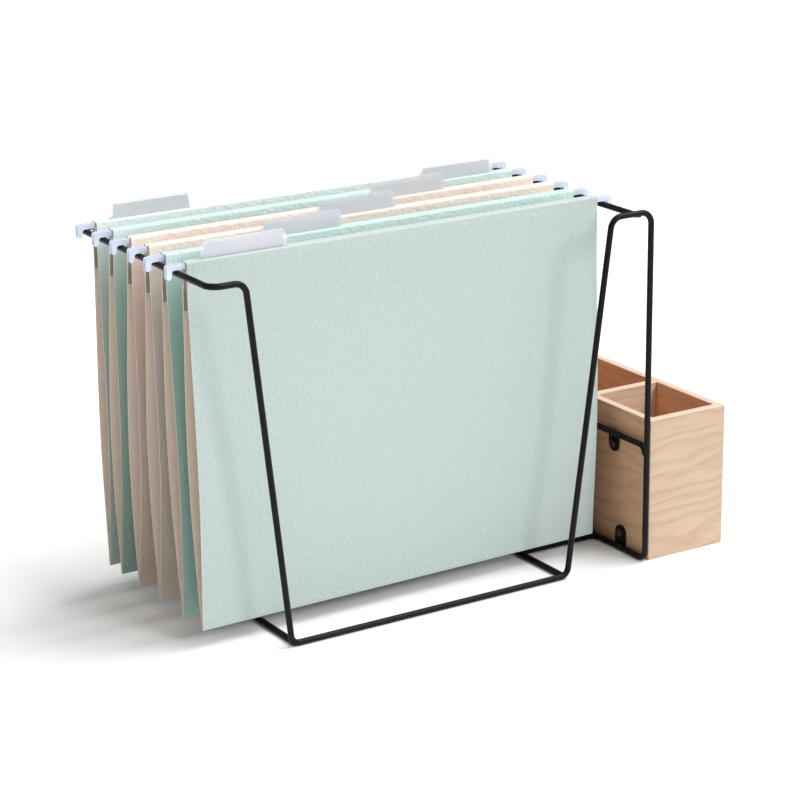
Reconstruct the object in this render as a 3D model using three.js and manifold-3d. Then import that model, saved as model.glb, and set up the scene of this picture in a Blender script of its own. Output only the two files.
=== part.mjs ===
// Desktop sorter for hanging file folders: a bent wire frame, six folders and a wooden two-part pen box.
// Millimetres, +Z up. Design coordinates have x = 0 midway between the rails, y = 0 in the plane of the
// front wires and z = 0 on the desk; the whole group is then moved so that the origin is at the bottom
// centre of its bounding box.
import * as THREE from 'three';
import { mergeVertices } from 'three/addons/utils/BufferGeometryUtils.js';
import Module from 'manifold-3d';

// ---------------------------------------------------------------- driving dimensions
const GAP = 0.3; // air between pieces that touch or are welded
const WIRE_R = 2; // radius of every frame wire
const WIRE_SIDES = 12;
const BEND_STEPS = 6;

const RAIL_X = 155.5; // rail centre from the middle
const RAIL_Z = 237.9; // rail centre above the desk
const RIGHT_SHOULDER_Z = 240; // the right front shoulder stands a little above the rails
const FRONT_TOP_Y = -2.3; // the front and rear wires lean outwards a little
const FRONT_FOOT_Y = 2.5;
const REAR_TOP_Y = 172.3;
const REAR_FOOT_Y = 167.5;
const LEG_TOP_X = 132.3; // where a sloping leg starts below its shoulder
const RIGHT_LEG_TOP_X = 133.2;
const FOOT_X = 104.1; // where a sloping leg meets the desk
const POST_X = 164.3; // upright beside the pen box
const RETURN_Y = 54; // how far the post's foot runs back
const FLOOR_WIRE_X = 101.5; // side runners on the desk

const RAIL_BEND = 8;
const SHOULDER_BEND = 8;
const FOOT_BEND = 6;
const LAP_BEND = 2.5; // the right rail's turned end
const LAP_LENGTH = 0.4;

const BRACKET_TOP_Z = 81; // upper wire of the box bracket
const BRACKET_REAR_Y = 62.5;
const BRACKET_BEND = 5;
const BRACKET_FRONT_BEND = 4;
const BRACKET_FOOT_BEND = 3;
const BRACKET_TAIL = 0.8; // short straight end against the post
const TAB_WIDTH = 10.8; // screw tabs, one on the bracket and one on the post's foot
const TAB_HEIGHT = 13.3;
const TAB_ROOT = 1; // how far a tab's root stays from its wire's centre line
const TAB_T = 1.2;
const UPPER_TAB_Y = 37.3;
const LOWER_TAB_Y = 28.6;
const SCREW_R = 1.4;
const SCREW_HEAD_R = 3.1;
const SCREW_HEAD_H = 2;
const SCREW_DEPTH = 5; // length of shank inside the box wall

const BOX_X = 168; // outside of the wall that faces the frame
const BOX_WIDTH = 62.5;
const BOX_FRONT_Y = -1;
const BOX_DEPTH = 150;
const BOX_HEIGHT = 98;
const WALL = 6;
const DIVIDER_Y = 66; // front face of the divider

const FIRST_FOLDER_Y = 38.7;
const FOLDER_PITCH = 24.4;
const PANEL_WIDTH = 298.5;
const PANEL_TOP = 244.2;
const CARD_T = 0.4;
// Each folder hangs its own way, in order from the front: how high its crease hangs, how far its panels
// bow apart, how far its crease has swung to the rear, how far it bows to the rear at half height, and
// how far it has slid sideways on the rails.
const HANGING = [
  { creaseZ: 11.2, belly: 4.6, swing: -2.6, bow: 1.5, shiftX: -0.5 },
  { creaseZ: 13, belly: 5, swing: -4.2, bow: 2, shiftX: -1.8 },
  { creaseZ: 12.7, belly: 6.2, swing: 0.5, bow: 1, shiftX: -0.5 },
  { creaseZ: 12.7, belly: 6.2, swing: 4.4, bow: 1, shiftX: -0.3 },
  { creaseZ: 12.7, belly: 5, swing: 4.8, bow: 2.5, shiftX: -0.5 },
  { creaseZ: 12.7, belly: 4.2, swing: -0.5, bow: -0.4, shiftX: 0 },
];
const BELLY_LOW = 0.82; // below 1, the widest place is below half height
const BELLY_SHARP = 1.6; // above 1, the panels stay flatter near their ends

const ROD_Y = 1.7; // each rod from the folder's middle plane
const ROD_T = 0.8;
const ROD_HEIGHT = 9;
const ROD_TOP = 243.6;
const SHANK_END_X = 149.5;
const HOOK_END_X = 163.3;
const HOOK_NOTCH_X = 159.8; // inner side of the drooping tip
const HOOK_BAR_Z = 240.2; // underside of the bar that lies on the rail
const HOOK_TIP_Z = 234.8;
const HOOK_CORNER = 1.6;
const HEM_SLACK = 0.7; // air between a rod and the card in front of it
const HEM_CORNER = 0.25;
const FLAP_INSET = 0.5; // the flap steps towards its panel below the rod
const FLAP_STEP = 1.8; // height over which it steps
const FLAP_LENGTH = 2.6;

const INDEX_WIDTH = 56.5; // clear index tab: foot width, top width, height
const INDEX_TOP_WIDTH = 53;
const INDEX_BOTTOM_Z = 235.4;
const INDEX_TOP_Z = 255.4;
const INDEX_T = 1;
const INDEX_WALL = 0.25;
const FIRST_INDEX_X = -112;
const INDEX_PITCH = 54;
const INDEX_PLACES = 5; // tabs step across the width, and the last folder starts again at the left
const LABEL_T = 0.2;
const LABEL_INSET = 2.2;

// ---------------------------------------------------------------- materials
const wireFinish = { color: 0x1b1a1c, roughness: 0.55, metalness: 0.35 };
const screwFinish = { color: 0x141416, roughness: 0.4, metalness: 0.6 };
const hookFinish = { color: 0xc9d0e2, roughness: 0.35, metalness: 0.1 };
const pine = { color: 0xe6c9a6, roughness: 0.65, metalness: 0 };
const clearPlastic = { color: 0xe9eef2, roughness: 0.15, metalness: 0, transparent: true, opacity: 0.4 };
const labelPaper = { color: 0xf1f2f8, roughness: 0.9, metalness: 0 };
const cardColours = [0xc9ddd8, 0xb4d8cd, 0xecd9cf, 0xecd9cf, 0xb4d8cd, 0xcddcdb];

const sorter = new THREE.Group();

function addPart(name, geometry, finish, parent = sorter) {
  const mesh = new THREE.Mesh(geometry, new THREE.MeshStandardMaterial(finish));
  mesh.name = name;
  parent.add(mesh);
  return mesh;
}

// ---------------------------------------------------------------- solids
const wasm = await Module();
wasm.setup();

function toManifold(geometry) {
  const bare = geometry.clone();
  bare.deleteAttribute('normal');
  bare.deleteAttribute('uv');
  const merged = mergeVertices(bare, 1e-4);
  return new wasm.Manifold(new wasm.Mesh({
    numProp: 3,
    vertProperties: Float32Array.from(merged.attributes.position.array),
    triVerts: Uint32Array.from(merged.index.array),
  }));
}

function cut(geometry, ...tools) {
  let solid = toManifold(geometry);
  for (const tool of tools) solid = solid.subtract(toManifold(tool));
  const mesh = solid.getMesh();
  const result = new THREE.BufferGeometry();
  result.setAttribute('position', new THREE.BufferAttribute(mesh.vertProperties, 3));
  result.setIndex(new THREE.BufferAttribute(mesh.triVerts, 1));
  result.computeVertexNormals();
  return result;
}

const axisX = new THREE.Vector3(1, 0, 0);
const axisY = new THREE.Vector3(0, 1, 0);
const axisZ = new THREE.Vector3(0, 0, 1);

// A shape drawn in x and z, given its thickness along y and centred on y = 0.
function plateAcrossY(shape, thickness) {
  const geometry = new THREE.ExtrudeGeometry(shape, { depth: thickness, bevelEnabled: false });
  geometry.translate(0, 0, -thickness / 2);
  return geometry.applyMatrix4(new THREE.Matrix4().makeBasis(axisX, axisZ, axisY.clone().negate()));
}

// A shape drawn in y and z, given its length along x and centred on x = 0.
function plateAcrossX(shape, length) {
  const geometry = new THREE.ExtrudeGeometry(shape, { depth: length, bevelEnabled: false });
  geometry.translate(0, 0, -length / 2);
  return geometry.applyMatrix4(new THREE.Matrix4().makeBasis(axisY, axisZ, axisX));
}

function block(low, high) {
  const size = new THREE.Vector3().subVectors(high, low);
  const geometry = new THREE.BoxGeometry(size.x, size.y, size.z);
  return geometry.translate((low.x + high.x) / 2, (low.y + high.y) / 2, (low.z + high.z) / 2);
}

// ---------------------------------------------------------------- bent wire
// A wire's centre line: one station at each end of a straight, and several round each bend.
class WireLine extends THREE.Curve {
  constructor(stations) {
    super();
    this.stations = stations;
  }

  station(t) {
    return this.stations[Math.round(t * (this.stations.length - 1))];
  }

  getPoint(t) {
    return this.station(t).point.clone();
  }

  getTangent(t) {
    return this.station(t).tangent.clone();
  }

  getUtoTmapping(u) {
    return u;
  }
}

function bendStations(before, corner, after, radius) {
  const arriving = new THREE.Vector3().subVectors(corner, before).normalize();
  const leaving = new THREE.Vector3().subVectors(after, corner).normalize();
  const turn = arriving.angleTo(leaving);
  const axis = new THREE.Vector3().crossVectors(arriving, leaving).normalize();
  const start = corner.clone().addScaledVector(arriving, -radius * Math.tan(turn / 2));
  const centre = new THREE.Vector3().crossVectors(axis, arriving).multiplyScalar(radius).add(start);
  const stations = [];
  for (let i = 0; i <= BEND_STEPS; i += 1) {
    const angle = (turn * i) / BEND_STEPS;
    stations.push({
      point: start.clone().sub(centre).applyAxisAngle(axis, angle).add(centre),
      tangent: arriving.clone().applyAxisAngle(axis, angle),
    });
  }
  return stations;
}

// corners: [x, y, z] for each end and corner; radii: one bend radius for each corner between the ends.
function wire(corners, radii = []) {
  const points = corners.map((corner) => new THREE.Vector3(...corner));
  const last = points.length - 1;
  const stations = [{
    point: points[0],
    tangent: new THREE.Vector3().subVectors(points[1], points[0]).normalize(),
  }];
  for (let i = 1; i < last; i += 1) {
    stations.push(...bendStations(points[i - 1], points[i], points[i + 1], radii[i - 1]));
  }
  stations.push({
    point: points[last],
    tangent: new THREE.Vector3().subVectors(points[last], points[last - 1]).normalize(),
  });
  const section = new THREE.Shape();
  for (let i = 0; i < WIRE_SIDES; i += 1) {
    const angle = (2 * Math.PI * i) / WIRE_SIDES;
    section[i ? 'lineTo' : 'moveTo'](WIRE_R * Math.cos(angle), WIRE_R * Math.sin(angle));
  }
  return new THREE.ExtrudeGeometry(section, {
    steps: stations.length - 1,
    extrudePath: new WireLine(stations),
    bevelEnabled: false,
  });
}

// ---------------------------------------------------------------- wire frame
const floorZ = WIRE_R;
const railFrontY = FRONT_TOP_Y + RAIL_BEND;
const railRearY = REAR_TOP_Y - RAIL_BEND;
const postJointZ = RIGHT_SHOULDER_Z - SHOULDER_BEND;

addPart('front_frame_wire', wire([
  [-RAIL_X, railFrontY, RAIL_Z],
  [-RAIL_X, FRONT_TOP_Y, RAIL_Z],
  [-LEG_TOP_X, FRONT_TOP_Y, RAIL_Z],
  [-FOOT_X, FRONT_FOOT_Y, floorZ],
  [FOOT_X, FRONT_FOOT_Y, floorZ],
  [RIGHT_LEG_TOP_X, FRONT_TOP_Y, RIGHT_SHOULDER_Z],
  [POST_X, FRONT_TOP_Y, RIGHT_SHOULDER_Z],
  [POST_X, FRONT_TOP_Y, postJointZ],
], [RAIL_BEND, SHOULDER_BEND, FOOT_BEND, FOOT_BEND, SHOULDER_BEND, SHOULDER_BEND]), wireFinish);

addPart('rear_frame_wire', wire([
  [-RAIL_X, railRearY, RAIL_Z],
  [-RAIL_X, REAR_TOP_Y, RAIL_Z],
  [-LEG_TOP_X, REAR_TOP_Y, RAIL_Z],
  [-FOOT_X, REAR_FOOT_Y, floorZ],
  [FOOT_X, REAR_FOOT_Y, floorZ],
  [LEG_TOP_X, REAR_TOP_Y, RAIL_Z],
  [RAIL_X, REAR_TOP_Y, RAIL_Z],
  [RAIL_X, railRearY, RAIL_Z],
], [RAIL_BEND, SHOULDER_BEND, FOOT_BEND, FOOT_BEND, SHOULDER_BEND, RAIL_BEND]), wireFinish);

addPart('left_rail', wire([
  [-RAIL_X, railFrontY + GAP, RAIL_Z],
  [-RAIL_X, railRearY - GAP, RAIL_Z],
]), wireFinish);

// The right rail's front end turns aside and is welded along the back of the front shoulder.
const besideFrontY = FRONT_TOP_Y + 2 * WIRE_R + GAP;
addPart('right_rail', wire([
  [RAIL_X, railRearY - GAP, RAIL_Z],
  [RAIL_X, besideFrontY, RAIL_Z],
  [RAIL_X + LAP_BEND + LAP_LENGTH, besideFrontY, RAIL_Z],
], [LAP_BEND]), wireFinish);

addPart('box_post_wire', wire([
  [POST_X, FRONT_TOP_Y, postJointZ - GAP],
  [POST_X, FRONT_TOP_Y, floorZ],
  [POST_X, RETURN_Y, floorZ],
  [FLOOR_WIRE_X + WIRE_R + GAP, RETURN_Y, floorZ],
], [FOOT_BEND, FOOT_BEND]), wireFinish);

for (const [name, side] of [['left_floor_wire', -1], ['right_floor_wire', 1]]) {
  addPart(name, wire([
    [side * FLOOR_WIRE_X, FRONT_FOOT_Y + WIRE_R + GAP, floorZ],
    [side * FLOOR_WIRE_X, REAR_FOOT_Y - WIRE_R - GAP, floorZ],
  ]), wireFinish);
}

// A wire that starts against the back of the post, runs back along the box, comes down to the desk and
// meets the post's foot where that turns aside.
addPart('box_bracket_wire', wire([
  [POST_X, besideFrontY, BRACKET_TOP_Z - BRACKET_FRONT_BEND - BRACKET_TAIL],
  [POST_X, besideFrontY, BRACKET_TOP_Z],
  [POST_X, BRACKET_REAR_Y, BRACKET_TOP_Z],
  [POST_X, BRACKET_REAR_Y, floorZ],
  [POST_X, RETURN_Y + WIRE_R, floorZ],
], [BRACKET_FRONT_BEND, BRACKET_BEND, BRACKET_FOOT_BEND]), wireFinish);

// ---------------------------------------------------------------- screw tabs and screws
const screwHoleR = SCREW_R + 2 * GAP;
const tabBackX = BOX_X - GAP;
const tabRound = TAB_WIDTH / 2;
const rootToScrew = TAB_HEIGHT - tabRound;

// A tab hanging from its wire: the square end is the root, and the round end holds the screw.
function screwTab() {
  const outline = new THREE.Shape();
  outline.moveTo(-tabRound, rootToScrew);
  outline.absarc(0, 0, tabRound, Math.PI, 2 * Math.PI, false);
  outline.lineTo(tabRound, rootToScrew);
  const hole = new THREE.Path();
  hole.absarc(0, 0, screwHoleR, 0, 2 * Math.PI, true);
  outline.holes.push(hole);
  const geometry = new THREE.ExtrudeGeometry(outline, {
    depth: TAB_T,
    bevelEnabled: false,
    curveSegments: 12,
  });
  geometry.translate(0, 0, -TAB_T / 2);
  return geometry.applyMatrix4(new THREE.Matrix4().makeBasis(axisY, axisZ, axisX));
}

function screw() {
  const profile = [
    [0, -SCREW_HEAD_H],
    [SCREW_HEAD_R * 0.62, -SCREW_HEAD_H * 0.92],
    [SCREW_HEAD_R * 0.92, -SCREW_HEAD_H * 0.62],
    [SCREW_HEAD_R, -SCREW_HEAD_H * 0.2],
    [SCREW_HEAD_R, 0],
    [SCREW_R, 0],
    [SCREW_R, TAB_T + 2 * GAP + SCREW_DEPTH - 2 * SCREW_R],
    [0, TAB_T + 2 * GAP + SCREW_DEPTH],
  ].map(([radius, height]) => new THREE.Vector2(radius, height));
  return new THREE.LatheGeometry(profile, 20).rotateZ(-Math.PI / 2);
}

const screwPlaces = [
  { name: 'upper', y: UPPER_TAB_Y, z: BRACKET_TOP_Z - TAB_ROOT - rootToScrew, turned: 0 },
  { name: 'lower', y: LOWER_TAB_Y, z: floorZ + TAB_ROOT + rootToScrew, turned: Math.PI },
];
for (const { name, y, z, turned } of screwPlaces) {
  const tab = addPart(`${name}_screw_tab`, screwTab(), wireFinish);
  tab.position.set(tabBackX - TAB_T / 2, y, z);
  tab.rotation.x = turned;
  addPart(`${name}_screw`, screw(), screwFinish).position.set(tabBackX - TAB_T - GAP, y, z);
}

// ---------------------------------------------------------------- pen box
const boxLow = new THREE.Vector3(BOX_X, BOX_FRONT_Y, 0);
const boxHigh = new THREE.Vector3(BOX_X + BOX_WIDTH, BOX_FRONT_Y + BOX_DEPTH, BOX_HEIGHT);
const inX = [boxLow.x + WALL, boxHigh.x - WALL];
const inY = [boxLow.y + WALL, boxHigh.y - WALL];
const FLOOR_T = 5;

function boxPanel(name, x, y, z) {
  return addPart(name, block(
    new THREE.Vector3(x[0], y[0], z[0]),
    new THREE.Vector3(x[1], y[1], z[1]),
  ), pine);
}

const fullHeight = [0, BOX_HEIGHT];
const betweenEnds = [inY[0] + GAP, inY[1] - GAP];
boxPanel('box_front_panel', [boxLow.x, boxHigh.x], [boxLow.y, inY[0]], fullHeight);
boxPanel('box_rear_panel', [boxLow.x, boxHigh.x], [inY[1], boxHigh.y], fullHeight);
boxPanel('box_outer_side', [inX[1], boxHigh.x], betweenEnds, fullHeight);
boxPanel('box_bottom', [inX[0] + GAP, inX[1] - GAP], betweenEnds, [0, FLOOR_T]);
boxPanel(
  'box_divider',
  [inX[0] + GAP, inX[1] - GAP],
  [DIVIDER_Y, DIVIDER_Y + WALL],
  [FLOOR_T + GAP, BOX_HEIGHT],
);

// The side against the frame has a blind pilot hole for each screw.
const pilotHoles = screwPlaces.map(({ y, z }) => {
  const hole = new THREE.CylinderGeometry(SCREW_R + GAP, SCREW_R + GAP, 2 * (SCREW_DEPTH + GAP), 16);
  return hole.rotateZ(Math.PI / 2).translate(BOX_X, y, z);
});
addPart('box_frame_side', cut(
  block(
    new THREE.Vector3(boxLow.x, betweenEnds[0], 0),
    new THREE.Vector3(inX[0], betweenEnds[1], BOX_HEIGHT),
  ),
  ...pilotHoles,
), pine);

// ---------------------------------------------------------------- folders
const CREASE_R = 0.7;
const CREASE_STEPS = 8;
const PANEL_STEPS = 16;
const hemBottomZ = ROD_TOP - ROD_HEIGHT - 1.2;
const hemOuterY = ROD_Y + ROD_T / 2 + HEM_SLACK + CARD_T;
const hemInnerY = ROD_Y - ROD_T / 2 - CARD_T;

// Centre line of one half of the folded card, from the crease up the panel and round the rod. side is -1
// for the front half and 1 for the rear half.
function cardHalf({ creaseZ, belly, bow, swing }, side) {
  const line = [];
  const add = (y, z) => line.push(new THREE.Vector2(side * y, z));
  for (let i = 1; i <= CREASE_STEPS; i += 1) {
    const angle = (Math.PI / 2) * (i / CREASE_STEPS);
    const y = CREASE_R * Math.sin(angle);
    line.push(new THREE.Vector2(side * y + swing, creaseZ + CARD_T / 2 + CREASE_R * (1 - Math.cos(angle))));
  }
  const panelFoot = creaseZ + CARD_T / 2 + CREASE_R;
  for (let i = 1; i <= PANEL_STEPS; i += 1) {
    const rise = i / PANEL_STEPS;
    const opening = Math.sin(Math.PI * rise ** BELLY_LOW) ** BELLY_SHARP;
    const y = CREASE_R + (hemOuterY - CREASE_R) * rise + belly * opening;
    const hang = swing * (1 - rise) + bow * 4 * rise * (1 - rise);
    line.push(new THREE.Vector2(side * y + hang, panelFoot + (hemBottomZ - panelFoot) * rise));
  }
  const topZ = PANEL_TOP - CARD_T / 2;
  add(hemOuterY, topZ - HEM_CORNER);
  add(hemOuterY - HEM_CORNER, topZ);
  add(hemInnerY + HEM_CORNER, topZ);
  add(hemInnerY, topZ - HEM_CORNER);
  add(hemInnerY, hemBottomZ + CARD_T);
  add(hemInnerY + FLAP_INSET, hemBottomZ + CARD_T - FLAP_STEP);
  add(hemInnerY + FLAP_INSET, hemBottomZ + CARD_T - FLAP_STEP - FLAP_LENGTH);
  return line;
}

// Outline of a strip of even thickness about an open line.
function strip(line, thickness) {
  const half = thickness / 2;
  const sides = [[], []];
  line.forEach((point, i) => {
    const before = line[Math.max(i - 1, 0)];
    const after = line[Math.min(i + 1, line.length - 1)];
    const arriving = (i ? point.clone().sub(before) : after.clone().sub(point)).normalize();
    const leaving = (i < line.length - 1 ? after.clone().sub(point) : arriving.clone()).normalize();
    const along = arriving.clone().add(leaving).normalize();
    const across = new THREE.Vector2(-along.y, along.x);
    const reach = half / Math.max(along.dot(leaving), 0.5);
    sides[0].push(point.clone().addScaledVector(across, reach));
    sides[1].unshift(point.clone().addScaledVector(across, -reach));
  });
  return new THREE.Shape([...sides[0], ...sides[1]]);
}

function jacket(hanging) {
  const front = cardHalf(hanging, -1).reverse();
  const foot = new THREE.Vector2(hanging.swing, hanging.creaseZ + CARD_T / 2);
  return plateAcrossX(strip([...front, foot, ...cardHalf(hanging, 1)], CARD_T), PANEL_WIDTH);
}

// A flat strip that ends each side in a bar over the rail and a rounded tip drooping outside it.
function rod() {
  const bottomZ = ROD_TOP - ROD_HEIGHT;
  const half = [
    [SHANK_END_X, bottomZ],
    [SHANK_END_X, HOOK_BAR_Z],
    [HOOK_NOTCH_X, HOOK_BAR_Z],
    [HOOK_NOTCH_X, HOOK_TIP_Z + HOOK_CORNER],
  ];
  const tipX = HOOK_END_X - HOOK_CORNER;
  const arcSteps = 5;
  const tipArc = (centreX, centreZ, radius, from, to) => {
    for (let i = 0; i <= arcSteps; i += 1) {
      const angle = from + ((to - from) * i) / arcSteps;
      half.push([centreX + radius * Math.cos(angle), centreZ + radius * Math.sin(angle)]);
    }
  };
  tipArc(HOOK_NOTCH_X + HOOK_CORNER, HOOK_TIP_Z + HOOK_CORNER, HOOK_CORNER, Math.PI, 1.5 * Math.PI);
  tipArc(tipX, HOOK_TIP_Z + HOOK_CORNER, HOOK_CORNER, -Math.PI / 2, 0);
  tipArc(tipX, ROD_TOP - HOOK_CORNER, HOOK_CORNER, 0, Math.PI / 2);
  const right = half.map(([x, z]) => new THREE.Vector2(x, z));
  const left = right.map(({ x, y }) => new THREE.Vector2(-x, y)).reverse();
  return plateAcrossY(new THREE.Shape([...right, ...left]), ROD_T);
}

function trapezoid(footWidth, topWidth, bottom, top, corner) {
  const shape = new THREE.Shape();
  shape.moveTo(-footWidth / 2, bottom);
  shape.lineTo(footWidth / 2, bottom);
  shape.lineTo(topWidth / 2, top - corner);
  shape.quadraticCurveTo(topWidth / 2, top, topWidth / 2 - corner, top);
  shape.lineTo(-topWidth / 2 + corner, top);
  shape.quadraticCurveTo(-topWidth / 2, top, -topWidth / 2, top - corner);
  return shape;
}

// A clear sleeve closed at the top and sides, which the label slides into from below.
function indexTab() {
  const sleeve = plateAcrossY(
    trapezoid(INDEX_WIDTH, INDEX_TOP_WIDTH, INDEX_BOTTOM_Z, INDEX_TOP_Z, 1.5),
    INDEX_T,
  );
  const side = 2 * 1.2;
  const pocket = plateAcrossY(
    trapezoid(INDEX_WIDTH - side, INDEX_TOP_WIDTH - side, INDEX_BOTTOM_Z - 1, INDEX_TOP_Z - 1, 0.6),
    INDEX_T - 2 * INDEX_WALL,
  );
  return cut(sleeve, pocket);
}

function label() {
  return plateAcrossY(
    trapezoid(
      INDEX_WIDTH - 2 * LABEL_INSET,
      INDEX_TOP_WIDTH - 2 * LABEL_INSET,
      INDEX_BOTTOM_Z + 1,
      INDEX_TOP_Z - LABEL_INSET,
      0.5,
    ),
    LABEL_T,
  );
}

HANGING.forEach((hanging, i) => {
  const folder = new THREE.Group();
  folder.position.set(hanging.shiftX, FIRST_FOLDER_Y + i * FOLDER_PITCH, 0);
  sorter.add(folder);
  const prefix = `folder_${i + 1}`;
  const card = { color: cardColours[i], roughness: 0.85, metalness: 0 };
  addPart(`${prefix}_jacket`, jacket(hanging), card, folder);
  addPart(`${prefix}_front_rod`, rod(), hookFinish, folder).position.y = -ROD_Y;
  addPart(`${prefix}_rear_rod`, rod(), hookFinish, folder).position.y = ROD_Y;
  const indexX = FIRST_INDEX_X + (i % INDEX_PLACES) * INDEX_PITCH - hanging.shiftX;
  addPart(`${prefix}_index_tab`, indexTab(), clearPlastic, folder).position.x = indexX;
  addPart(`${prefix}_label`, label(), labelPaper, folder).position.x = indexX;
});

// ---------------------------------------------------------------- origin at the bottom centre
const leftX = -HOOK_END_X + Math.min(...HANGING.map(({ shiftX }) => shiftX));
const rightX = BOX_X + BOX_WIDTH;
sorter.position.set(-(leftX + rightX) / 2, -(FRONT_TOP_Y + REAR_TOP_Y) / 2, 0);

export default sorter;
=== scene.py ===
"""Looks of the desktop file sorter: a bent wire frame, six hanging folders of embossed card and a
two-part pine pen box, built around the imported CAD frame.

Metres, +Z up, in the row frame. Shapes are drawn in millimetres in design coordinates (x from midway
between the rails, y from the plane of the front wires, z from the desk), and place() turns them into
the row frame with an offset that is read from the CAD nodes.
"""

import math

import bmesh
import bpy
from mathutils import Matrix, Vector, noise


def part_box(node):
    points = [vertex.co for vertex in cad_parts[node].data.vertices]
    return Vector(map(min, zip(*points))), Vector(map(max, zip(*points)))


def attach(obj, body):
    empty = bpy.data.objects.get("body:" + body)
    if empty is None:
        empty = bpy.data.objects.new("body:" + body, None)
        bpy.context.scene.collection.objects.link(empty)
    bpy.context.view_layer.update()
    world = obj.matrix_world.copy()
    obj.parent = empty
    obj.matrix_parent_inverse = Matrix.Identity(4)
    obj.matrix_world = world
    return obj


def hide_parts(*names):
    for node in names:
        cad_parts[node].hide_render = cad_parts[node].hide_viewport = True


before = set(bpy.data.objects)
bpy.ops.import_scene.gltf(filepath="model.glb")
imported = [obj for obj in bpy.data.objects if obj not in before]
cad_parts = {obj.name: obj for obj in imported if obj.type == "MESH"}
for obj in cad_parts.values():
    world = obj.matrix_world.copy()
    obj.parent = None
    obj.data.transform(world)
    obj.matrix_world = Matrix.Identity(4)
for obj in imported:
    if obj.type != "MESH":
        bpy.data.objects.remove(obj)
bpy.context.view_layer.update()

MM = 0.001


# ---------------------------------------------------------------- places read from the frame
def middle(node):
    low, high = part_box(node)
    return (low + high) / 2


rail_low, rail_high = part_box("left_rail")
right_rail_low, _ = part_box("right_rail")
front_low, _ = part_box("front_frame_wire")
_, rear_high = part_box("rear_frame_wire")
FRONT_TOP_Y = -2.3  # the front and rear wires lean outwards a little
FRONT_FOOT_Y = 2.5
WIRE_R = (rail_high.x - rail_low.x) / 2 / MM
RAIL_Z = middle("left_rail").z / MM
RAIL_X = (right_rail_low.x / MM + WIRE_R - middle("left_rail").x / MM) / 2
ORIGIN = Vector((middle("left_rail").x + RAIL_X * MM, front_low.y + (WIRE_R - FRONT_TOP_Y) * MM, 0))
REAR_TOP_Y = (rear_high.y - ORIGIN.y) / MM - WIRE_R
REAR_FOOT_Y = REAR_TOP_Y + FRONT_TOP_Y - FRONT_FOOT_Y


def place(x, y, z):
    """A point in design millimetres, as a point in the row frame in metres."""
    return ORIGIN + Vector((x, y, z)) * MM


def design_box(node):
    """A CAD node's lowest and highest corners in design millimetres."""
    low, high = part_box(node)
    return (low - ORIGIN) / MM, (high - ORIGIN) / MM


# ---------------------------------------------------------------- camera, light and floor
CAMERA_PLACE = (-838.55, -1301.1, 632.8)  # design millimetres
CAMERA_AIM = (0.505, 0.808, -0.302)
CAMERA_ROLL = 0.62  # degrees
CAMERA_LENS = 117.9  # for the sensor width below
SENSOR_WIDTH = 36
KEY = 1.16  # strength of the soft sun from the front and the right
SIDE = 3.0  # strength of the broad sun above the pen box
HORIZON = 0.02  # strength of the sky's light at the horizon and straight up
ZENITH = 0.80


def make_camera():
    """The photograph's viewpoint, fitted to the frame's corners."""
    camera = bpy.data.objects.new("camera", bpy.data.cameras.new("camera"))
    bpy.context.scene.collection.objects.link(camera)
    bpy.context.scene.camera = camera
    camera.data.sensor_width = SENSOR_WIDTH
    camera.data.lens = CAMERA_LENS
    camera.data.clip_start = 0.05
    camera.data.clip_end = 50
    forward = Vector(CAMERA_AIM).normalized()
    level = forward.cross(Vector((0, 0, 1))).normalized()
    turn = Matrix.Rotation(math.radians(CAMERA_ROLL), 3, forward)
    right = turn @ level
    up = right.cross(forward)
    axes = Matrix((right, up, -forward)).transposed().to_4x4()
    camera.matrix_world = Matrix.Translation(place(*CAMERA_PLACE)) @ axes


def make_sun(name, travel, strength, angle):
    """A sun whose light travels in that direction and is angle degrees wide."""
    light = bpy.data.lights.new(name, "SUN")
    light.energy = strength
    light.angle = math.radians(angle)
    lamp = bpy.data.objects.new(name, light)
    bpy.context.scene.collection.objects.link(lamp)
    lamp.rotation_mode = "QUATERNION"
    lamp.rotation_quaternion = Vector(travel).to_track_quat("-Z", "Y")


def make_light():
    """Two soft suns and a sky that is seen white but lights mostly from above."""
    scene = bpy.context.scene
    scene.view_settings.view_transform = "Standard"
    make_sun("key_light", (-0.35, 1.0, -0.7), KEY, 18)
    make_sun("side_light", (-0.72, 0.14, -1.0), SIDE, 50)
    world = bpy.data.worlds.new("studio")
    scene.world = world
    world.use_nodes = True
    tree = world.node_tree
    tree.nodes.clear()

    def add(kind, **values):
        node = tree.nodes.new("ShaderNode" + kind)
        for socket, value in values.items():
            node.inputs[socket].default_value = value
        return node

    direction = add("TexCoord").outputs["Generated"]
    height = add("SeparateXYZ")
    tree.links.new(direction, height.inputs[0])
    rise = add("MapRange")
    rise.inputs["To Min"].default_value = HORIZON
    rise.inputs["To Max"].default_value = ZENITH
    tree.links.new(height.outputs["Z"], rise.inputs["Value"])
    fill = add("Background", Color=(1, 0.985, 0.96, 1))
    tree.links.new(rise.outputs[0], fill.inputs["Strength"])
    white = add("Background", Color=(1, 1, 1, 1), Strength=1.0)
    mix = add("MixShader")
    tree.links.new(add("LightPath").outputs["Is Camera Ray"], mix.inputs[0])
    tree.links.new(fill.outputs[0], mix.inputs[1])
    tree.links.new(white.outputs[0], mix.inputs[2])
    tree.links.new(mix.outputs[0], add("OutputWorld").inputs["Surface"])


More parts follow.
